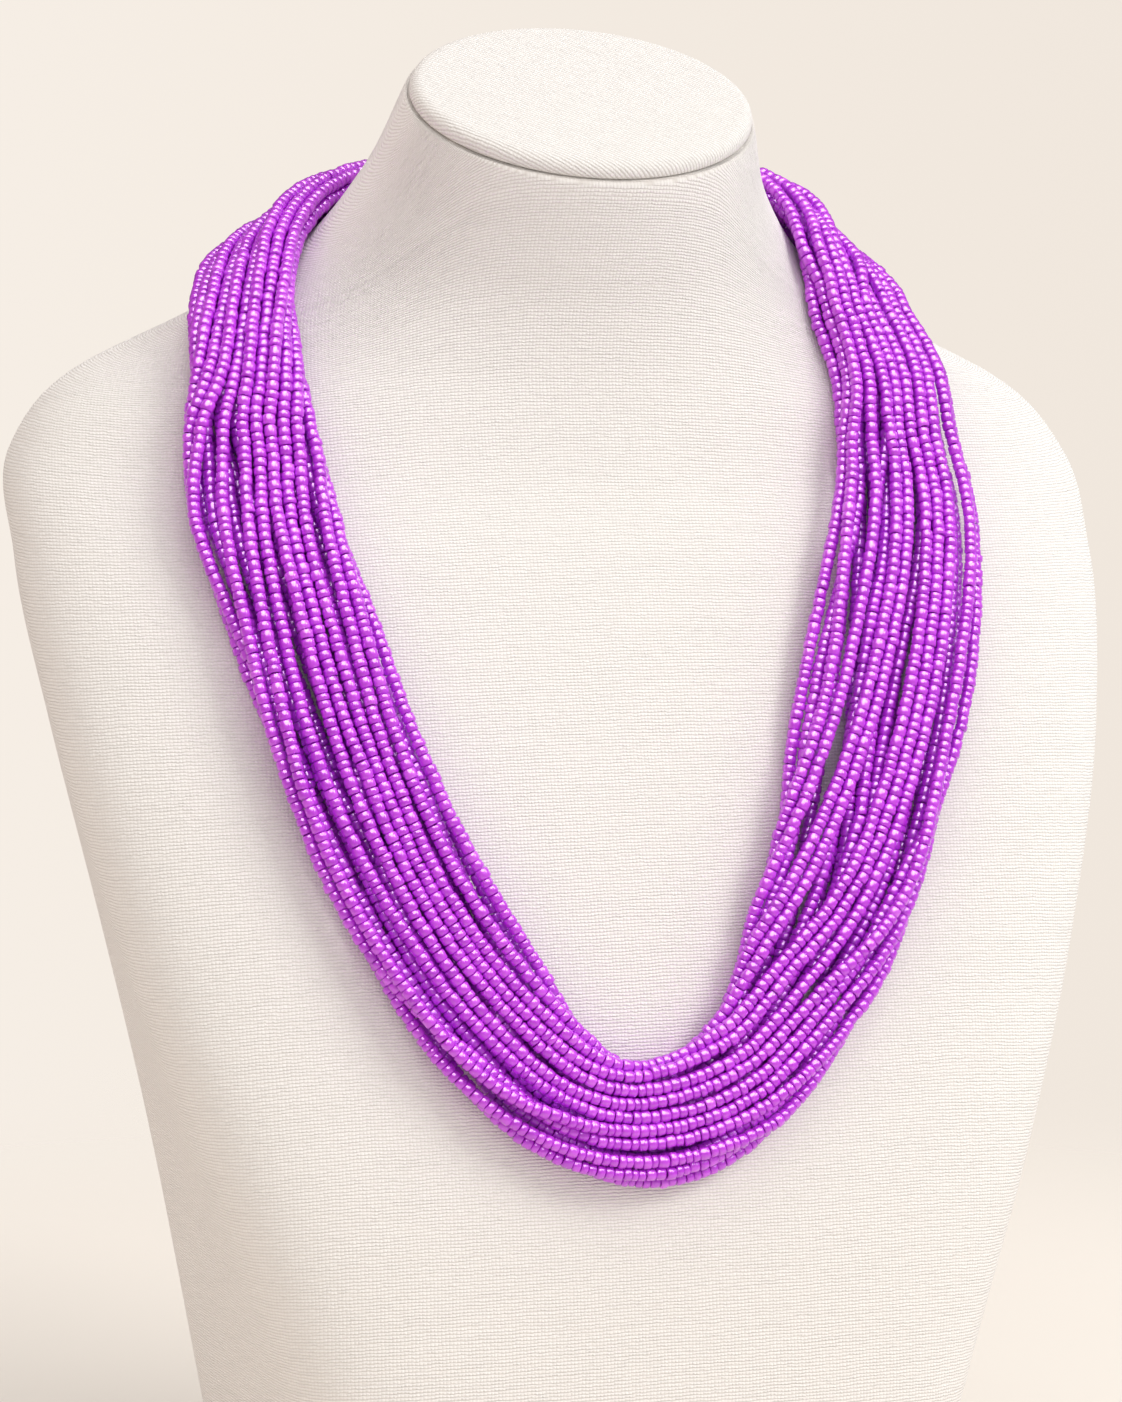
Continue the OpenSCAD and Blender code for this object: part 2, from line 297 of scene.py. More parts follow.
# %% Cross-sections of the bust
# Level, half width, half depth, middle, squareness, taper, lean; lengths in mm.
SECTIONS = np.array([
    [0, 76.5, 50, -12.5, 6.0, 0.20, 0],
    [50, 87.5, 49.5, -11, 6.0, 0.14, 0],
    [100, 100.5, 47, -8, 5.6, 0.03, 0],
    [150, 114, 42.5, -0.5, 5.0, -0.08, 0],
    [200, 126, 37.5, 9.5, 4.2, -0.15, 0],
    [238, 132, 34.5, 20, 3.3, -0.12, 0],
    [262, 131, 33, 26.5, 2.7, 0, 0.15],
    [278, 117, 32.5, 29, 2.4, 0, 0.22],
    [291, 89.5, 31.5, 29, 2.15, 0, 0.31],
    [305, 66, 30, 26, 2.0, 0, 0.38],
    [323, 50, 28.5, 19, 2.0, 0, 0.53],
    [341, 42.5, 26, 9.5, 2.0, 0, 0.70],
])


def read_table(rows, x):
    """The whole row of a table at each x, read smoothly between its rows."""
    x = np.asarray(x, float)
    knots = rows[:, 0]
    gaps = np.diff(knots)
    steps = np.diff(rows, axis=0) / gaps[:, None]
    slopes = np.empty_like(rows)
    slopes[0], slopes[-1] = steps[0], steps[-1]
    before, after = gaps[:-1, None], gaps[1:, None]
    slopes[1:-1] = (after * steps[:-1] + before * steps[1:]) / (before + after)
    i = np.clip(np.searchsorted(knots, x, side="right") - 1, 0, len(knots) - 2)
    h = gaps[i]
    u = ((x - knots[i]) / h)[..., None]
    h = h[..., None]
    return (
        rows[i] * (1 + 2 * u) * (1 - u) ** 2 + h * slopes[i] * u * (1 - u) ** 2
        + rows[i + 1] * u * u * (3 - 2 * u) + h * slopes[i + 1] * u * u * (u - 1)
    )


# %% Points on the skin
NORMAL_ANGLE_STEP, NORMAL_LEVEL_STEP = 0.06, 0.05


def skin(level, angle, grow=0.0):
    """Points on the bust's skin, in mm; angles in degrees, 270 at the front."""
    level, width, depth, middle, power, taper, lean = np.moveaxis(read_table(SECTIONS, level), -1, 0)
    turn = np.radians(angle)
    across = np.abs(np.cos(turn) / ((width + grow) * (1 + taper * np.sin(turn))))
    along = np.abs(np.sin(turn) / (depth + grow))
    r = (across ** power + along ** power) ** (-1 / power)
    y = r * np.sin(turn)
    return np.stack([r * np.cos(turn), middle + y, level + lean * y], axis=-1)


def unit(v):
    return v / np.linalg.norm(v, axis=-1, keepdims=True)


def skin_normal(level, angle):
    """The direction straight out of the skin."""
    round_it = skin(level, angle + NORMAL_ANGLE_STEP) - skin(level, angle - NORMAL_ANGLE_STEP)
    up_it = skin(level + NORMAL_LEVEL_STEP, angle) - skin(level - NORMAL_LEVEL_STEP, angle)
    return unit(np.cross(round_it, up_it))


def way_along(points, axis=0):
    """The way walked from the first point to each, along one axis of an array of points."""
    return np.insert(np.linalg.norm(np.diff(points, axis=axis), axis=-1).cumsum(axis), 0, 0, axis=axis)


# The neck is cut off by a sloping plane: the way straight out of it, and its distance from the origin.
RIM_LEVEL = SECTIONS[-1, 0]
RIM_OUT = unit(np.array([0, -SECTIONS[-1, 6], 1.0]))
RIM_DISTANCE = skin(RIM_LEVEL, 270) @ RIM_OUT

print("front of the chest at 200 mm:", np.round(skin(200, 270), 1))
print("from the origin to the neck's plane, mm:", round(RIM_DISTANCE, 1))

# %% [markdown]
# ## Linen
#
# The bust is covered in plain-woven linen: weft threads run across the chest
# and warp threads run up it, each passing over and under the other. Flax spins
# unevenly, so a thread swells and thins along its length, and a row here and
# there is a little darker. The weave is one node group that reads the cloth's
# own measure in metres from a UV map, so the rows follow the body as real cloth
# does. It gives out a height for the bump and masks for the colour, one of them
# painted shade in the valleys between threads, and the bust and the cap place
# it with their own values.

# %% Weave group
# How the threads wander, in a slow drift and in a waver: a noise's scale, and its reach in metres.
WANDER = ((70.0, 0.0007), (620.0, 0.00052))
# Slubs are long soft swellings along the weft threads, and flecks short ones where the warp binds them. The
# scales are features in a metre, along the weft and across it.
SLUB_SCALE, FLECK_SCALE = (60.0, 1150.0, 1.0), (560.0, 1250.0, 1.0)
# What slubs and flecks add to a thread's plain swell. How high a weft thread stands between two warp threads,
# how much it rises over one, and how blunt its crest is.
SLUB_SWELL, FLECK_SWELL, PLAIN_SWELL = 1.1, 1.5, -0.3
WEFT_STAND, WEFT_RISE, WEFT_BLUNT = 0.58, 0.45, 0.8
SLUB_TONE, FLECK_TONE = 0.6, 0.4
# The heights under which a valley's painted shade is full and over which a thread has none, and the broad
# blotches.
VALLEY_HEIGHT, THREAD_HEIGHT = 0.10, 0.75
BLOTCH_SCALE, BLOTCH_DETAIL = 14.0, 3.0
# Drawn cloth lies flatter: how fast with each metre, and by what share at most.
FLATTEN_RATE, FLATTEN_MOST = 40.0, 0.25


def group(name, place, numbers, results):
    """A new node group that reads a place and some numbers and gives numbers, and its two end nodes."""
    made = bpy.data.node_groups.new(name, "ShaderNodeTree")
    made.interface.new_socket(name=place, in_out="INPUT", socket_type="NodeSocketVector")
    for label in numbers:
        made.interface.new_socket(name=label, in_out="INPUT", socket_type="NodeSocketFloat")
    for label in results:
        made.interface.new_socket(name=label, in_out="OUTPUT", socket_type="NodeSocketFloat")
    return made, made.nodes.new("NodeGroupInput").outputs, made.nodes.new("NodeGroupOutput").inputs


def shifted(tree, place, scale, reach):
    """The place moved to and fro by a noise, up to half the reach."""
    swing = vector_calc(tree, "SUBTRACT", {0: noise(tree, place, scale, 2.0, "Color"), 1: (0.5, 0.5, 0.5)})
    swing = vector_calc(tree, "SCALE", {0: swing, "Scale": reach})
    return vector_calc(tree, "ADD", {0: place, 1: swing})


def build_weave():
    tree, given, out = group(
        "linen_weave", "Cloth", ["Warp Pitch", "Weft Pitch", "Stretched From", "Stretch"],
        ["Height", "Painted Valley Shade", "Thread Tone", "Blotch"])

    def bulge(threads):
        """How high a round thread stands: 0 between two threads, 1 on the crest of one."""
        return calc(tree, "ABSOLUTE", calc(tree, "SINE", calc(tree, "MULTIPLY", threads, math.pi)))

    def unevenness(scale, detail):
        rows = node(tree, "ShaderNodeMapping", {"Vector": bent, "Scale": scale}).outputs[0]
        return noise(tree, rows, 1.0, detail)

    bent = given["Cloth"]
    for scale, reach in WANDER:
        bent = shifted(tree, bent, scale, reach)
    split = node(tree, "ShaderNodeSeparateXYZ", {0: bent}).outputs
    warp = bulge(calc(tree, "DIVIDE", split["X"], given["Warp Pitch"]))
    # Over the neck the cloth is drawn tighter, and its weft threads lie further apart.
    drawn = calc(tree, "MAXIMUM", calc(tree, "SUBTRACT", split["Y"], given["Stretched From"]), 0.0)
    risen = calc(tree, "SUBTRACT", split["Y"], calc(tree, "MULTIPLY", drawn, given["Stretch"]))
    weft = bulge(calc(tree, "DIVIDE", risen, given["Weft Pitch"]))
    slub, fleck = unevenness(SLUB_SCALE, 2.0), unevenness(FLECK_SCALE, 1.0)
    swell = calc(tree, "MULTIPLY_ADD", fleck, FLECK_SWELL, PLAIN_SWELL)
    swell = calc(tree, "MULTIPLY_ADD", slub, SLUB_SWELL, swell)
    # The weft thread makes the height, and rises where it passes over a warp thread.
    over = calc(tree, "MULTIPLY_ADD", warp, WEFT_RISE, WEFT_STAND)
    thread = calc(tree, "MULTIPLY", calc(tree, "POWER", weft, WEFT_BLUNT), over)
    height = calc(tree, "MULTIPLY", thread, swell)
    flatter = calc(tree, "MINIMUM", calc(tree, "MULTIPLY", drawn, FLATTEN_RATE), 1.0)
    proud = calc(tree, "MULTIPLY_ADD", flatter, -FLATTEN_MOST, 1.0)
    tree.links.new(calc(tree, "MULTIPLY", height, proud), out["Height"])
    # The valley mask is painted shade: the low places between the threads are darkened in the colour.
    raised = step_up(tree, height, VALLEY_HEIGHT, THREAD_HEIGHT)
    tree.links.new(calc(tree, "SUBTRACT", 1.0, raised), out["Painted Valley Shade"])
    tone = calc(tree, "MULTIPLY_ADD", slub, SLUB_TONE, calc(tree, "MULTIPLY", fleck, FLECK_TONE))
    tree.links.new(tone, out["Thread Tone"])
    tree.links.new(noise(tree, given["Cloth"], BLOTCH_SCALE, BLOTCH_DETAIL), out["Blotch"])
    print("weave group nodes:", len(tree.nodes))
    return tree


weave_group = build_weave()

# %% Linen materials
# The linen's colour, and the darker colour painted as shade in the valleys between threads.
LINEN, LINEN_VALLEY_PAINTED_SHADE = (0.880, 0.850, 0.818), (0.600, 0.548, 0.500)
LINEN_SHADE, LINEN_LIGHT = (0.745, 0.700, 0.655), (0.88, 0.85, 0.82)
# How much the painted shade in the valleys, the uneven threads and the broad blotches change the colour.
VALLEY_PAINTED_SHADE_SHARE, TONE_SHARE, BLOTCH_SHARE = 0.50, 0.14, 0.10
TONE_FROM, TONE_TO = 0.35, 0.70
# Painted shade under the cap: a brown darkening of the bust's cloth that starts just under the rim and is
# full just above it; heights in metres.
SEAM_PAINTED_SHADE_COLOUR, SEAM_PAINTED_SHADE_SHARE = (0.20, 0.12, 0.07), 0.16
SEAM_PAINTED_SHADE_DEPTH, SEAM_PAINTED_SHADE_ABOVE_RIM = 0.0007, 0.0006
NECK_FROM, NECK_STRETCH = 0.33, 0.20
NEVER = 9.0


def linen_material(name, warp_pitch, weft_pitch, relief, turn=0.0, stretched_from=NEVER, painted_seam_shade_at=NEVER,
                   painted_shade_keeps=1.0):
    """Linen for one piece; lengths in metres, the heights where it is stretched and where painted shade under
    the cap's seam is full, and the share of its colour that an overall painted shade keeps.
    """
    material, tree = new_material(name)
    cloth = node(tree, "ShaderNodeUVMap", uv_map="cloth").outputs[0]
    cloth = node(tree, "ShaderNodeMapping", {"Vector": cloth, "Rotation": (0, 0, turn)}).outputs[0]
    weave = node(tree, "ShaderNodeGroup", node_tree=weave_group)
    tree.links.new(cloth, weave.inputs["Cloth"])
    for label, value in (("Warp Pitch", warp_pitch), ("Weft Pitch", weft_pitch),
                         ("Stretched From", stretched_from), ("Stretch", NECK_STRETCH)):
        weave.inputs[label].default_value = value
    place = node(tree, "ShaderNodeTexCoord").outputs["Object"]
    rise = vector_calc(tree, "DOT_PRODUCT", {0: place, 1: tuple(RIM_OUT)}, "Value")
    tone = step_up(tree, weave.outputs["Thread Tone"], TONE_FROM, TONE_TO)
    # Painted shade: a brown darkening of the cloth just under the cap's seam.
    painted_seam_shade = step_up(tree, rise, painted_seam_shade_at - SEAM_PAINTED_SHADE_DEPTH, painted_seam_shade_at)
    colour = LINEN
    # Painted shade darkens the valleys between threads and the cloth just under the cap's seam; the uneven
    # threads and blotches are the linen's own tone.
    for mask, share, other in (
            (weave.outputs["Painted Valley Shade"], VALLEY_PAINTED_SHADE_SHARE, LINEN_VALLEY_PAINTED_SHADE), (tone, TONE_SHARE, LINEN_SHADE),
            (weave.outputs["Blotch"], BLOTCH_SHARE, LINEN_LIGHT), (painted_seam_shade, SEAM_PAINTED_SHADE_SHARE, SEAM_PAINTED_SHADE_COLOUR)):
        colour = mix_colour(tree, calc(tree, "MULTIPLY", mask, share), colour, other)
    # Painted shade: the whole colour is dimmed by a share; on the cap it darkens the same linen where its top
    # catches more light.
    colour = mix_colour(tree, 1.0 - painted_shade_keeps, colour, (0.0, 0.0, 0.0))
    surface(tree, weave.outputs["Height"], relief, {
        "Base Color": colour, "Roughness": 0.92, "Specular IOR Level": 0.18, "Sheen Weight": 0.12,
        "Sheen Roughness": 0.5})
    print(name, "threads in a centimetre:", round(0.01 / warp_pitch, 1), "by", round(0.01 / weft_pitch, 1))
    return material


# The bust's linen is stretched over the neck and carries painted shade just under the cap's seam.
bust_linen = linen_material("bust_linen", 0.00085, 0.00077, 0.00018, stretched_from=NECK_FROM,
                            painted_seam_shade_at=RIM_DISTANCE * MM + SEAM_PAINTED_SHADE_ABOVE_RIM)
# The cap's copy of the linen is dimmed a little as painted shade.
cap_linen = linen_material("cap_linen", 0.00090, 0.00084, 0.00020, turn=math.radians(38), painted_shade_keeps=0.955)

# %% [markdown]
# ## The covered bust
#
# On the real bust the linen is one sheet, pulled round the form and joined
# behind, where it isn't seen. The piece is made the same way: a flat grid is
# wrapped round the form ring by ring, its two side edges are merged behind, and
# the foot and the neck are closed. The grid keeps a UV map of the cloth in
# metres, so the weave isn't stretched where the form swells.

# %% Wrap a grid round a form
MERGE_WITHIN = 1e-7
SMOOTH_UNDER = math.radians(50)


def closed_round(rings):
    """Rings of points with each ring's first point once more at its end."""
    return np.concatenate([rings, rings[:, :1]], axis=1)


def wrap_grid(name, rings, cloth):
    """A closed piece from rings of points in mm, with the cloth's own measure in mm at each grid point."""
    count, around = rings.shape[:2]
    bpy.ops.mesh.primitive_grid_add(x_subdivisions=around, y_subdivisions=count - 1, size=1)
    piece = bpy.context.object
    piece.name = piece.data.name = name
    piece.data.vertices.foreach_set("co", (closed_round(rings).reshape(-1, 3) * MM).ravel())
    corners = np.empty(len(piece.data.loops), np.int32)
    piece.data.loops.foreach_get("vertex_index", corners)
    piece.data.uv_layers[0].name = "cloth"
    piece.data.uv_layers["cloth"].uv.foreach_set("vector", (cloth.reshape(-1, 2)[corners] * MM).ravel())
    bpy.ops.object.mode_set(mode="EDIT")
    bpy.ops.mesh.select_all(action="SELECT")
    bpy.ops.mesh.remove_doubles(threshold=MERGE_WITHIN)
    bpy.ops.mesh.fill_holes(sides=0)
    bpy.ops.mesh.select_all(action="SELECT")
    bpy.ops.mesh.normals_make_consistent(inside=False)
    bpy.ops.object.mode_set(mode="OBJECT")
    bpy.ops.object.shade_smooth_by_angle(angle=SMOOTH_UNDER)
    piece.data.update()
    return piece


def triangles(piece):
    piece.data.calc_loop_triangles()
    return len(piece.data.loop_triangles)


# %% Bust
AROUND = 192
FOOT_BEVEL, RIM_INSET, RIM_RISE = 1.6, 0.7, 0.6
# First level, last level and number of rings: closer together over the shoulders and up the neck.
RING_RUNS = ((FOOT_BEVEL, 224, 44), (228, 300, 30), (303, RIM_LEVEL, 18))
# Degrees between the lines that the way up the cloth is measured along.
UP_LINE_EVERY = 3.0


def ring_angles(level):
    """Angles for one ring of points, crowded where a square section turns; it starts behind."""
    _, width, depth, _, squareness, _, _ = read_table(SECTIONS, level)
    q = np.radians(90 + np.arange(AROUND) * 360 / AROUND)
    power = 2 / squareness
    angle = np.degrees(np.arctan2(
        depth * np.sign(np.sin(q)) * np.abs(np.sin(q)) ** power,
        width * np.sign(np.cos(q)) * np.abs(np.cos(q)) ** power))
    return (angle - 90 + 1e-6) % 360 + 90


def outline(level, grow=0.0):
    """One ring of the skin."""
    return skin(np.full(AROUND, float(level)), ring_angles(level), grow)


def cloth_measure(levels, rings):
    """Where each grid point lies on the flat cloth: across from the front's middle, and up from the foot."""
    across = way_along(closed_round(rings), axis=1)
    across -= across[:, AROUND // 2:AROUND // 2 + 1]
    # The way up is walked along lines of one angle, so that it changes softly round the form.
    angles = np.arange(90, 451, UP_LINE_EVERY)
    risen = way_along(skin(np.array(levels)[:, None], angles))
    up = [np.interp(np.append(ring_angles(level), 450), angles, row) for level, row in zip(levels, risen)]
    return np.stack([across, np.array(up)], axis=-1)


def build_bust():
    levels = np.concatenate([np.linspace(*run) for run in RING_RUNS])
    foot = [outline(0, -FOOT_BEVEL * (1 - math.sin(t))) + [0, 0, FOOT_BEVEL * (1 - math.cos(t))]
            for t in np.radians([0, 30, 60])]
    neck = [outline(RIM_LEVEL, -RIM_INSET * (1 - math.cos(t))) + RIM_OUT * RIM_RISE * math.sin(t)
            for t in np.radians([30, 60, 90])]
    rings = np.array(foot + [outline(z) for z in levels] + neck)
    ring_levels = [0] * len(foot) + list(levels) + [RIM_LEVEL] * len(neck)
    return wrap_grid("bust_cover", rings, cloth_measure(ring_levels, rings))


bust = build_bust()
bust.data.materials.append(bust_linen)
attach(bust, "root")
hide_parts("bust_body")
print("bust cover triangles:", triangles(bust))

# %% [markdown]
# ## The cap on the neck
#
# The neck is closed with a separate thin board, padded slightly and covered in
# the same linen, here a little darkened as painted shade, then pressed down on
# the neck's rim. A fine dark line is left between the two: a narrow real gap,
# and painted brown shade on the bust's cloth just under it. The board has a full
# round edge and its top is a touch domed. It is wrapped like the bust, ring by
# ring in to the middle, and the last ring closes on one point.

# %% Neck cap
SEAM_GAP, CAP_THICK, CAP_INSET, CAP_ROUND, CAP_DOME = 0.25, 3.8, 1.1, 2.6, 0.25
# The cap's lower edge: how much further in, and how high.
CAP_UNDERSIDE = ((0.9, 0.0), (0.25, 0.12), (0.0, 0.5))
# The rings of the cap's top, as shares of the way out from its middle.
CAP_SHARES = (0.97, 0.93, 0.87, 0.78, 0.66, 0.5, 0.34, 0.18, 0.0)


def build_cap():
    profile = [(CAP_INSET + further, up) for further, up in CAP_UNDERSIDE]
    profile += [(CAP_INSET + CAP_ROUND * (1 - math.cos(t)), CAP_THICK - CAP_ROUND * (1 - math.sin(t)))
                for t in np.radians(np.arange(0, 91, 15))]
    rings = [outline(RIM_LEVEL, -inset) + RIM_OUT * (RIM_RISE + SEAM_GAP + up) for inset, up in profile]
    rim = rings[-1]
    middle = rim.mean(axis=0)
    spokes = rim - middle
    rings += [middle + spokes * share + RIM_OUT * (CAP_DOME * (1 - share ** 2)) for share in CAP_SHARES]
    rings = np.array(rings)
    # The cloth is laid flat from the middle out, so its measure is the way walked from there.
    walk = way_along(rings[::-1])[::-1]
    slope_up = np.cross(RIM_OUT, [1, 0, 0])
    flat = unit(np.stack([spokes[:, 0], spokes @ slope_up], axis=-1))
    return wrap_grid("neck_cap_cover", rings, closed_round(walk[..., None] * flat))


cap = build_cap()
cap.data.materials.append(cap_linen)
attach(cap, "root")
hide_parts("neck_cap")
print("neck cap triangles:", triangles(cap))

# %% [markdown]
# ## The band of strings
#
# The strings lie three deep in a band that starts and ends at the clasp behind
# the neck. The band is drawn on the bust's skin by its inner and outer edge.
# Whoever put the necklace on has rolled the bundle to and fro in their hands:
# eighteen strings turn round the other six, so that the upper ones run at a
# slant over the lower ones, outward down one side and inward up the other.

# %% Band edges
# Row, inner edge's angle and level, outer edge's angle and level, first layer's lift; mm and degrees.
BAND = np.array([
    [0, 102, 319, 102, 297, 2.5], [1, 136, 319.5, 133, 296.5, 2.2], [2, 160, 318.5, 151, 296, 2.3],
    [3, 174, 314.5, 164, 295, 2.5], [4, 190.5, 301.5, 180.5, 291.4, 2.1], [5, 201, 285, 192, 282, 1.9],
    [6, 205.4, 268, 195.2, 267, 1.9], [7, 210, 236.5, 198.3, 236, 2.2], [8, 218.5, 197, 203.5, 194, 2.2],
    [9, 228.5, 168, 209, 161.5, 1.9], [10, 241, 145, 218, 134, 1.8], [11, 255.5, 129, 233.5, 112, 1.8],
    [12, 272, 127.5, 265, 99.5, 1.8], [13, 288, 136.5, 297.5, 108.5, 1.8],
    [14, 299.5, 155.5, 316.5, 131, 2.0], [15, 308.5, 174.5, 328, 158, 2.2],
    [16, 318, 201.5, 335, 193.5, 2.2], [17, 325.5, 229, 339.5, 224, 2.2],
    [18, 330.5, 253.5, 342.5, 251, 2.0], [19, 333, 276, 345, 276, 2.0], [20, 339, 297, 352, 289.5, 2.1],
    [21, 343.5, 306.5, 358, 293.8, 2.4], [22, 349, 316, 366, 296.5, 2.7], [23, 360, 321, 377, 298, 3.0],
    [24, 374, 322, 389, 298.5, 3.1], [25, 395, 321.5, 404, 298.5, 3.1], [26, 438, 320, 438, 298, 2.8],
])
ROW_PARTS, ACROSS_PARTS = 24, 16
MIDDLE_HEIGHT = 5.4
stations = np.linspace(0, BAND[-1, 0], int(BAND[-1, 0]) * ROW_PARTS + 1)
band = read_table(BAND, stations)
first_lift = band[:, 5]


def across_band(q):
    """Angle and level at a share of the way from the inner edge to the outer one, at every station."""
    return band[:, 1] + (band[:, 3] - band[:, 1]) * q, band[:, 2] + (band[:, 4] - band[:, 2]) * q


def distances_across():
    """The distance from the inner edge at equal shares of the way across, measured in the middle layer."""
    lines = []
    for i in range(ACROSS_PARTS + 1):
        angle, level = across_band(i / ACROSS_PARTS)
        lines.append(skin(level, angle) + skin_normal(level, angle) * MIDDLE_HEIGHT)
    return way_along(np.array(lines))


measure = distances_across()
band_width = measure[-1]
print("band width, mm: narrowest", round(band_width.min(), 1), "widest", round(band_width.max(), 1))

# %% The strings' own places
# Band row, and by how many strings the outer ones have turned round the inner ones, the upper side outward.
TURN = np.array([
    [0, -1], [3, -0.9], [4, 0], [5, 1.8], [6, 3.1], [7, 4.4], [8, 5.5], [9, 5.8], [10, 5.0], [11, 3.4],
    [12, 2.4], [13, 3.7], [14, 5.5], [15, 6.8], [16, 7.6], [17, 7.9], [18, 7.9], [20, 7.6], [23, 7.1],
    [26, 7.0],
])
RING_COUNT, CORE_COUNT = 18, 6
LAYER, EDGE_INSET, CORE_INSET = 3.1, 1.5, 1.0


def ring_places(i):
    """One outer string's distance from the inner edge and height over the lowest layer, at every station."""
    flat = band_width - 2 * (EDGE_INSET + LAYER)
    half_turn = math.pi * LAYER
    turned = read_table(TURN, stations)[:, 1]
    s = (i + turned) / RING_COUNT % 1 * 2 * (flat + half_turn)
    outer, inner = (s - flat) / LAYER, (s - 2 * flat - half_turn) / LAYER
    stretches = [s < flat, s < flat + half_turn, s < 2 * flat + half_turn]
    u = np.select(
        stretches, [s, flat + LAYER * np.sin(outer), 2 * flat + half_turn - s], -LAYER * np.sin(inner))
    v = np.select(stretches, [2 * LAYER, LAYER * (1 + np.cos(outer)), 0], LAYER * (1 - np.cos(inner)))
    return EDGE_INSET + LAYER + u, v


def core_places(i):
    """The same for one of the strings between the two layers."""
    start = EDGE_INSET + LAYER + CORE_INSET
    return start + (band_width - 2 * start) * i / (CORE_COUNT - 1), np.full(len(stations), LAYER)


def own_places():
    """Where each string would lie without the others."""
    places = [ring_places(i) for i in range(RING_COUNT)] + [core_places(i) for i in range(CORE_COUNT)]
    u, v = np.array(places).transpose(1, 0, 2)
    return u, v + first_lift


home_u, home_v = own_places()
print("strings:", len(home_u), "stations on each:", len(stations))

# %% How the strings slump and stray
# No hand lays them evenly. They slump where the bust falls away under them, and each strays a little, more
# where the band is wide. The table has the band row, and how far the strings have slumped in from the inner
# and from the outer edge, in mm; a negative number is outward.
SLUMP = np.array([
    [0, 0, 0], [1, 4.5, -4.5], [2, 4.5, -4.0], [3, 3.0, 2.0], [4, 1.0, 4.2], [5, 2.5, 2.0], [6, 2.8, -2.5],
    [7, 3.2, -1.8], [8, 3.2, 0], [9, 2.2, 0], [10, 1.0, 0], [12, 0.5, 0], [14, 0, 0], [16, 0, 0],
    [17, 0, 0.5], [18, 0, 1.6], [19, 0, 2.8], [20, 0, 3.0], [21, 0.8, 2.2], [22, 3.0, -0.5],
    [23, 4.5, -4.0], [24, 4.5, -4.5], [25, 2.5, -2.5], [26, 0, 0],
])
SLUMP_LOW, SLUMP_MORE = 0.65, 0.35
STRAY_SEED, STRAY_EVERY = 31, 46.0
STRAY_LEAST, STRAY_MORE = 0.75, 0.13


def slump(u, v):
    """How far each string has slid in from the band's edges: the higher it lies, the further."""
    from_inner, from_outer = read_table(SLUMP, stations)[:, 1:].T
    share = u / band_width
    high = SLUMP_LOW + SLUMP_MORE * (v - first_lift) / (2 * LAYER)
    return high * (from_inner * (1 - share) - from_outer * share)


def strays(count):
    """How far each string strays to the side, in mm: a smooth line through seeded numbers."""
    chance = np.random.default_rng(STRAY_SEED)
    angle, level = across_band(0.5)
    walked = way_along(skin(level, angle))
    places = np.linspace(0, walked[-1], int(walked[-1] / STRAY_EVERY) + 1)
    knots = np.column_stack([places, chance.normal(0, 1, (len(places), count))])
    knots[[0, -1], 1:] = 0
    far = STRAY_LEAST + STRAY_MORE * (band_width - band_width.min())
    return read_table(knots, walked)[:, 1:].T * far


aimed_u = home_u + strays(len(home_u)) + slump(home_u, home_v)
print("aimed beside its own place, mm: at most", round(np.abs(aimed_u - home_u).max(), 1))

# %% Points for places on the band
# Distances from the inner edge are looked up in a fine table of the skin that goes a little past both edges.
TABLE_PARTS, PAST_EDGE = 64, 6.0


def share_across(u):
    """The share of the band's width at distances u from its inner edge, also a little past either edge."""
    shares = np.linspace(0, 1, ACROSS_PARTS + 1)
    q = np.array([np.interp(u[:, k], measure[:, k], shares) for k in range(len(stations))]).T
    return q + (np.minimum(u, 0) + np.maximum(u - band_width, 0)) / band_width


reach = band_width + 2 * PAST_EDGE
table_u = np.linspace(0, 1, TABLE_PARTS + 1)[:, None] * reach - PAST_EDGE
table_angle, table_level = across_band(share_across(table_u))
table_skin, table_out = skin(table_level, table_angle), skin_normal(table_level, table_angle)


def place_strings(u, v):
    """Points in mm, and the directions outward and across, for distances from the inner edge and heights."""
    x = np.clip((u + PAST_EDGE) / reach * TABLE_PARTS, 0, TABLE_PARTS - 0.001)
    i, column = x.astype(int), np.arange(len(stations))
    part, v = (x - i)[..., None], v[..., None]
    low = table_skin[i, column] + table_out[i, column] * v
    high = table_skin[i + 1, column] + table_out[i + 1, column] * v
    out = unit(table_out[i, column] * (1 - part) + table_out[i + 1, column] * part)
    return low + (high - low) * part, out, unit(high - low)


print("points in the table:", table_level.size)

# %% Let the strings settle
# Every string is pulled to the place it aims at and pushed off the others. In the quiet rounds at the end the
# pull stops and they only make room.
BEAD_RADIUS, KEEP_APART = 1.53, 3.09
HOME_PULL, GIVE, STIFFNESS, GROOVE_PULL = 0.12, 0.42, 0.45, 0.05
SETTLE_ROUNDS, QUIET_ROUNDS, STIFF_REACH = 110, 40, 9
OVER_SKIN, SINK = 0.1, 0.45
lowest = np.maximum(BEAD_RADIUS + OVER_SKIN, first_lift - SINK)


def smooth_along(values):
    """A soft average along the stations, so no string has a kink."""
    weights = np.hanning(2 * STIFF_REACH + 3)[1:-1]
    padded = np.pad(values, ((0, 0), (STIFF_REACH, STIFF_REACH)), mode="edge")
    return sum(w * padded[:, k:k + values.shape[1]] for k, w in enumerate(weights)) / weights.sum()


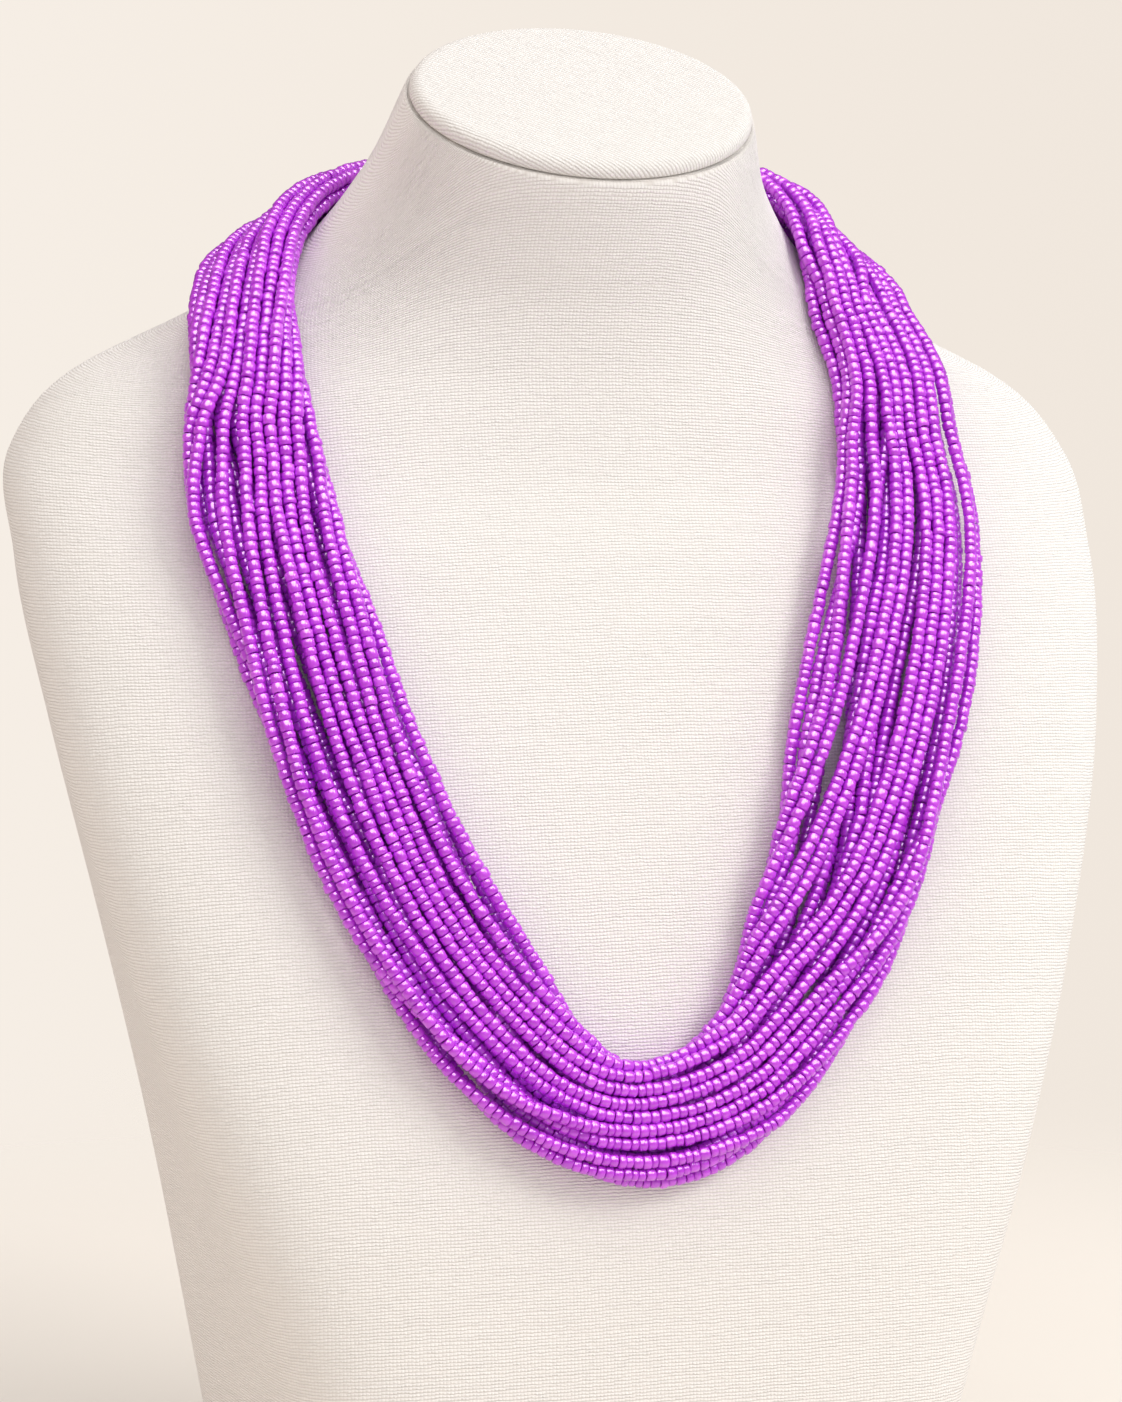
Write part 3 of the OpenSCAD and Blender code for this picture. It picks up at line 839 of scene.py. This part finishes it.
def settle(aimed_u, aimed_v):
    """Places across and heights of all strings after they have slid against each other."""
    u, v = aimed_u.copy(), aimed_v.copy()
    for turn in range(SETTLE_ROUNDS + QUIET_ROUNDS):
        if turn < SETTLE_ROUNDS:
            u += HOME_PULL * (aimed_u - u)
            v += HOME_PULL * (aimed_v - v)
            # A string under or over another slides off its crest into the groove beside it.
            beside = u[:, None] - u
            crest = np.where(np.abs(beside) < KEEP_APART, np.sin(math.pi * beside / KEEP_APART), 0)
            u += GROOVE_PULL * crest.sum(axis=1)
        stiff = STIFFNESS if turn < SETTLE_ROUNDS else STIFFNESS / 3
        u += stiff * (smooth_along(u) - u)
        v += stiff * (smooth_along(v) - v)
        points, out, side = place_strings(u, v)
        between = points[:, None] - points
        apart = np.linalg.norm(between, axis=-1, keepdims=True) + 1e-9
        push = (GIVE * np.clip(KEEP_APART - apart, 0, None) / apart * between).sum(axis=1)
        u += (push * side).sum(axis=-1)
        v = np.maximum(v + (push * out).sum(axis=-1), lowest)
    return u, v


places, heights = settle(aimed_u, home_v)
moved = np.hypot(places - home_u, heights - home_v)
print("moved from its own place, mm: mean", round(moved.mean(), 1), "furthest", round(moved.max(), 1))


# %% Threads of all strings
def thread_length(points):
    return np.linalg.norm(np.diff(points, axis=0), axis=1).sum()


string_points, string_outs, _ = place_strings(places, heights)
thread_lengths = [thread_length(points) for points in string_points]
# A string's distance from itself is made large, so that it isn't counted.
apart = np.linalg.norm(string_points[:, None] - string_points, axis=-1)
apart += 9 * np.eye(len(string_points))[..., None]
print("closest threads, mm:", round(apart.min(), 2), "highest thread, mm:", round(heights.max(), 1))
print("thread in all, m:", round(sum(thread_lengths) * MM, 2))
print("shortest and longest thread, mm:", round(min(thread_lengths)), round(max(thread_lengths)))

# %% [markdown]
# ## One seed bead
#
# A seed bead is cut from a drawn glass cane with a hole through it, and then
# tumbled hot until its edges are round. It starts here as a nine-sided cylinder,
# which is cut cane. The two ends are pulled out and drawn in to round the
# shoulders, dished towards the hole, and the hole is bridged through. It has
# only fifty-four faces, because more than seven thousand of them are needed.

# %% Bead
BEAD_LENGTH, BEAD_SIDES, CANE_LENGTH = 2.0, 9, 1.36
SHOULDER_RADIUS, HOLE_RADIUS, DISH = 1.20, 0.52, 0.18


def model_bead():
    bpy.ops.mesh.primitive_cylinder_add(
        vertices=BEAD_SIDES, radius=BEAD_RADIUS, depth=CANE_LENGTH, end_fill_type="NGON")
    bead = bpy.context.object
    bead.name = "bead_pattern"
    bpy.ops.object.mode_set(mode="EDIT")
    bpy.ops.mesh.select_mode(type="FACE")
    # The shoulder is pulled out and drawn in, then the dish is pressed back to the hole.
    shoulder = BEAD_LENGTH / 2 - CANE_LENGTH / 2
    pulls = ((shoulder, SHOULDER_RADIUS / BEAD_RADIUS), (-DISH, HOLE_RADIUS / SHOULDER_RADIUS))
    for up in (1, -1):
        for lift, share in pulls:
            bpy.ops.mesh.select_all(action="DESELECT")
            bpy.ops.object.mode_set(mode="OBJECT")
            ends = [f for f in bead.data.polygons if f.normal.z * up > 0.9]
            max(ends, key=lambda f: len(f.vertices)).select = True
            bpy.ops.object.mode_set(mode="EDIT")
            bpy.ops.mesh.extrude_region_move(TRANSFORM_OT_translate={"value": (0, 0, up * lift)})
            bpy.ops.transform.resize(value=(share, share, 1))
    bpy.ops.object.mode_set(mode="OBJECT")
    for face in bead.data.polygons:
        face.select = len(face.vertices) == BEAD_SIDES
    bpy.ops.object.mode_set(mode="EDIT")
    bpy.ops.mesh.bridge_edge_loops()
    bpy.ops.mesh.select_all(action="SELECT")
    bpy.ops.mesh.normals_make_consistent(inside=False)
    bpy.ops.object.mode_set(mode="OBJECT")
    print("bead faces:", len(bead.data.polygons), "points:", len(bead.data.vertices))
    shape = np.array([v.co for v in bead.data.vertices])
    # The bridged faces come in any order, so each is begun at its first point and all are sorted.
    faces = [tuple(np.roll(f.vertices, -np.argmin(f.vertices))) for f in bead.data.polygons]
    faces = np.array(sorted(faces))
    bpy.data.objects.remove(bead)
    return shape, faces


bead_shape, bead_faces = model_bead()

# %% [markdown]
# ## Glass and thread
#
# The beads are opaque violet glass with a bright, slightly soft gloss. No two
# are quite alike: the glass is a little lighter or redder from bead to bead, so
# every bead carries a tone of its own, and faint ripples from the tumbling
# break its gloss. The clasp is a plain moulded bar of the same colour. Beads,
# thread and clasp all use one group for the ripples.

# %% Ripple group
# How coarse the clouds of colour are beside the ripples of the surface.
CLOUD_SHARE = 0.21


def build_ripple():
    tree, given, out = group("glaze_ripple", "Place", ["Ripple Scale"], ["Height", "Cloud"])
    tree.links.new(noise(tree, given["Place"], given["Ripple Scale"], 1.5), out["Height"])
    broad = calc(tree, "MULTIPLY", given["Ripple Scale"], CLOUD_SHARE)
    tree.links.new(noise(tree, given["Place"], broad, 2.0), out["Cloud"])
    print("ripple group nodes:", len(tree.nodes))
    return tree


ripple_group = build_ripple()

# %% Glass, thread and clasp materials
# How much a bead's colour follows the clouds and its own tone, and which shares of its roughness are plain
# and cloudy.
CLOUD_IN_TONE, OWN_IN_TONE = 0.25, 0.8
ROUGH_PLAIN, ROUGH_CLOUDY = 0.75, 0.5


def gloss_material(name, stops, roughness, relief, ripple, tone_name=None, coat=0.0, gloss=0.5):
    """A glossy material whose colour runs through the stops, by the piece's own tone where it has one."""
    material, tree = new_material(name)
    place = node(tree, "ShaderNodeTexCoord").outputs["Object"]
    glaze = node(tree, "ShaderNodeGroup", node_tree=ripple_group)
    tree.links.new(place, glaze.inputs["Place"])
    glaze.inputs["Ripple Scale"].default_value = ripple
    tone = glaze.outputs["Cloud"]
    if tone_name:
        own = node(tree, "ShaderNodeAttribute", attribute_name=tone_name, attribute_type="GEOMETRY")
        own = calc(tree, "MULTIPLY", own.outputs["Fac"], OWN_IN_TONE)
        tone = calc(tree, "MULTIPLY_ADD", tone, CLOUD_IN_TONE, own)
    rough = calc(tree, "MULTIPLY_ADD", glaze.outputs["Cloud"], roughness * ROUGH_CLOUDY,
                 roughness * ROUGH_PLAIN)
    surface(tree, glaze.outputs["Height"], relief, {
        "Base Color": ramp(tree, tone, stops), "Roughness": rough, "Specular IOR Level": gloss,
        "Coat Weight": coat, "Coat Roughness": 0.10})
    print(name, "colours:", len(stops))
    return material


bead_glass = gloss_material("bead_glass", [
    (0.0, (0.42, 0.014, 0.60)), (0.35, (0.53, 0.024, 0.73)),
    (0.7, (0.60, 0.042, 0.80)), (1.0, (0.70, 0.10, 0.88)),
], roughness=0.34, relief=0.00003, ripple=1500.0, tone_name="tone", coat=1.0, gloss=0.9)
thread_fibre = gloss_material("thread_fibre", [
    (0.0, (0.26, 0.02, 0.33)), (1.0, (0.38, 0.05, 0.46)),
], roughness=0.65, relief=0.00004, ripple=5200.0)
clasp_gloss = gloss_material("clasp_gloss", [
    (0.0, (0.40, 0.030, 0.52)), (1.0, (0.54, 0.060, 0.68)),
], roughness=0.30, relief=0.00003, ripple=300.0, coat=0.25)

# %% [markdown]
# ## Threading the beads
#
# Each string is threaded as a beader would: bead after bead along its thread,
# until the length is full. The beads differ a little in length and width, sit
# slightly askew on the thread and are turned at random. The loose ends run
# into the clasp. A string is one mesh of joined copies, so it can be shown,
# coloured and exported as one piece, and the thread is a thin tube inside it.

# %% Beads of one string
GAP, HEADING_REACH = 0.04, 0.6
# Middle, spread, least and most of a bead's length and width, as shares of the common ones, and of its tone.
LENGTHS, WIDTHS, TONES = (1, 0.15, 0.72, 1.42), (0.99, 0.04, 0.90, 1.07), (0.5, 0.2, 0, 1)
TILT, ASIDE, OUTWARD = math.radians(3.4), 0.09, 0.07


def frames_at(points, outs, far):
    """Place, heading, side and outward direction at distances along a thread."""
    walked = way_along(points)

    def at(values, d):
        return np.stack([np.interp(d, walked, values[:, c]) for c in range(3)], axis=-1)

    ahead, behind = np.minimum(far + HEADING_REACH, walked[-1]), np.maximum(far - HEADING_REACH, 0)
    heading = unit(at(points, ahead) - at(points, behind))
    side = unit(np.cross(heading, at(outs, far)))
    return at(points, far), heading, side, np.cross(side, heading)


def spread(chance, count, middle, deviation, least, most):
    """Seeded numbers round a middle, kept between two limits."""
    return np.clip(chance.normal(middle, deviation, count), least, most)


def bead_copies(points, outs, chance):
    """The points and tones of all beads on one thread."""
    length = thread_length(points)
    count = int(length / (BEAD_LENGTH + GAP))
    lengths = spread(chance, count, *LENGTHS)
    lengths *= (length - GAP * count) / (BEAD_LENGTH * lengths.sum())
    ends = np.cumsum(lengths * BEAD_LENGTH + GAP)
    middle = ends - (lengths * BEAD_LENGTH + GAP) / 2
    place, heading, side, out = frames_at(points, outs, middle)
    tilt = chance.normal(0, TILT, (count, 2))
    heading = unit(heading + tilt[:, :1] * side + tilt[:, 1:] * out)
    spin = chance.uniform(0, 2 * math.pi, count)[:, None]
    first = unit(np.cos(spin) * side + np.sin(spin) * out)
    first = unit(first - (first * heading).sum(1, keepdims=True) * heading)
    second = np.cross(heading, first)
    wide = spread(chance, count, *WIDTHS)[:, None]
    place = place + side * chance.normal(0, ASIDE, (count, 1)) + out * chance.normal(0, OUTWARD, (count, 1))
    x, y, z = (bead_shape[None, :, c:c + 1] for c in range(3))
    made = (
        place[:, None] + (z * lengths[:, None, None]) * heading[:, None]
        + (x * wide[:, None]) * first[:, None] + (y * wide[:, None]) * second[:, None]
    )
    # Most beads are near the middle tone, and a few are clearly lighter or darker.
    tones = spread(chance, count, *TONES)
    return made.reshape(-1, 3), np.repeat(tones, len(bead_shape)), count


# %% Thread of one string
THREAD_RADIUS, THREAD_SIDES, THREAD_STEP, THREAD_PAST = 0.34, 5, 3.2, 1.2
THREAD_TONE = 0.5


def thread_tube(points, outs):
    """A thin tube along the thread that ends inside the clasp."""
    length = thread_length(points)
    far = np.linspace(0, length, int(length / THREAD_STEP))
    place, heading, side, out = frames_at(points, outs, far)
    place[0] -= heading[0] * THREAD_PAST
    place[-1] += heading[-1] * THREAD_PAST
    turn = np.radians(np.arange(THREAD_SIDES) * 360 / THREAD_SIDES)[None, :, None]
    made = place[:, None] + THREAD_RADIUS * (np.cos(turn) * side[:, None] + np.sin(turn) * out[:, None])
    this = np.arange(made[:-1, :, 0].size).reshape(-1, THREAD_SIDES)
    beside = np.roll(this, -1, axis=1)
    quads = np.stack([this, beside, beside + THREAD_SIDES, this + THREAD_SIDES], axis=-1)
    return made.reshape(-1, 3), quads.reshape(-1, 4)


# %% One whole string as a mesh
BEAD_SEED = 1000


def mesh_from_quads(name, points, quads):
    """A smooth mesh object from numbered points in mm and quads."""
    mesh = bpy.data.meshes.new(name)
    mesh.vertices.add(len(points))
    mesh.vertices.foreach_set("co", (points * MM).ravel())
    mesh.loops.add(quads.size)
    mesh.loops.foreach_set("vertex_index", quads.ravel().astype(np.int32))
    mesh.polygons.add(len(quads))
    mesh.polygons.foreach_set("loop_start", np.arange(0, quads.size, 4, dtype=np.int32))
    mesh.polygons.foreach_set("use_smooth", np.full(len(quads), True))
    mesh.update(calc_edges=True)
    mesh.validate()
    piece = bpy.data.objects.new(name, mesh)
    scene.collection.objects.link(piece)
    return piece


def thread_string(number, points, outs):
    """One finished string: its beads, its thread, their tones and materials."""
    chance = np.random.default_rng(BEAD_SEED + number)
    made, tones, count = bead_copies(points, outs, chance)
    steps = np.arange(count)[:, None, None] * len(bead_shape)
    bead_quads = (bead_faces[None] + steps).reshape(-1, 4)
    tube, tube_quads = thread_tube(points, outs)
    piece = mesh_from_quads(
        f"seed_beads_{number:02d}", np.concatenate([made, tube]),
        np.concatenate([bead_quads, tube_quads + len(made)]))
    tone = piece.data.attributes.new("tone", "FLOAT", "POINT")
    tone.data.foreach_set("value", np.append(tones, np.full(len(tube), THREAD_TONE)).astype(np.float32))
    piece.data.materials.append(bead_glass)
    piece.data.materials.append(thread_fibre)
    kinds = np.repeat(np.int32([0, 1]), [len(bead_quads), len(tube_quads)])
    piece.data.polygons.foreach_set("material_index", kinds)
    return piece, count


# %% Thread them all
bead_count = 0
string_pieces = []
for number, (points, outs) in enumerate(zip(string_points, string_outs), start=1):
    piece, count = thread_string(number, points, outs)
    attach(piece, "root")
    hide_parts(f"bead_string_{number:02d}")
    string_pieces.append(piece)
    bead_count += count
print("beads threaded:", bead_count)
print("triangles of the strings:", sum(triangles(p) for p in string_pieces))
print("most triangles in one string:", max(triangles(p) for p in string_pieces))

# %% [markdown]
# ## The clasp
#
# Behind the neck all the threads end in one bar, which hides their knots. It is
# a plain moulding that follows the curve of the neck, with softly rounded
# edges, and it is made by wrapping a grid round a rounded rectangle that is
# swept from one end to the other.

# %% Clasp bar
CLASP_HALF_ANGLE, CLASP_FOOT, CLASP_BACK, CLASP_PAST, CLASP_EDGE = 11.2, 0.8, 11.4, 0.9, 1.5
# Each end is rounded: how far in from it in degrees, and how far the outline is drawn in there, in mm.
CLASP_ENDS = ((0, 1.1), (0.25, 0.55), (0.7, 0.2), (1.2, 0.04))
CLASP_STRAIGHT, CLASP_ROWS = CLASP_HALF_ANGLE - 1.8, 13


def rounded_outline(low, high, foot, back, edge):
    """Points round a rectangle with quarter-round corners."""
    left, right, bottom, top = low + edge, high - edge, foot + edge, back - edge
    made = []
    for quarter, (x, y) in enumerate(((right, top), (left, top), (left, bottom), (right, bottom))):
        turns = np.radians(np.arange(0, 91, 22.5)) + math.radians(90 * quarter)
        made += [(x + edge * math.cos(t), y + edge * math.sin(t)) for t in turns]
    return np.array(made)


def build_clasp():
    width = band_width[0]
    body = [(a, 0.0) for a in np.linspace(-CLASP_STRAIGHT, CLASP_STRAIGHT, CLASP_ROWS)]
    ends = [(inward - CLASP_HALF_ANGLE, inset) for inward, inset in CLASP_ENDS]
    rings = []
    for a, inset in ends + body + [(-a, inset) for a, inset in reversed(ends)]:
        shape = rounded_outline(-CLASP_PAST + inset, width + CLASP_PAST - inset,
                                CLASP_FOOT + inset, CLASP_BACK - inset, CLASP_EDGE)
        angle = np.full(len(shape), 90.0 - a)
        level = BAND[0, 2] + (BAND[0, 4] - BAND[0, 2]) * (shape[:, 0] / width)
        rings.append(skin(level, angle) + skin_normal(level, angle) * shape[:, 1:])
    rings = np.array(rings)
    flat = np.zeros((rings.shape[0], rings.shape[1] + 1, 2))
    return wrap_grid("clasp_cover", rings, flat)


clasp = build_clasp()
clasp.data.materials.append(clasp_gloss)
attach(clasp, "root")
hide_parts("clasp_bar")
print("clasp triangles:", triangles(clasp))
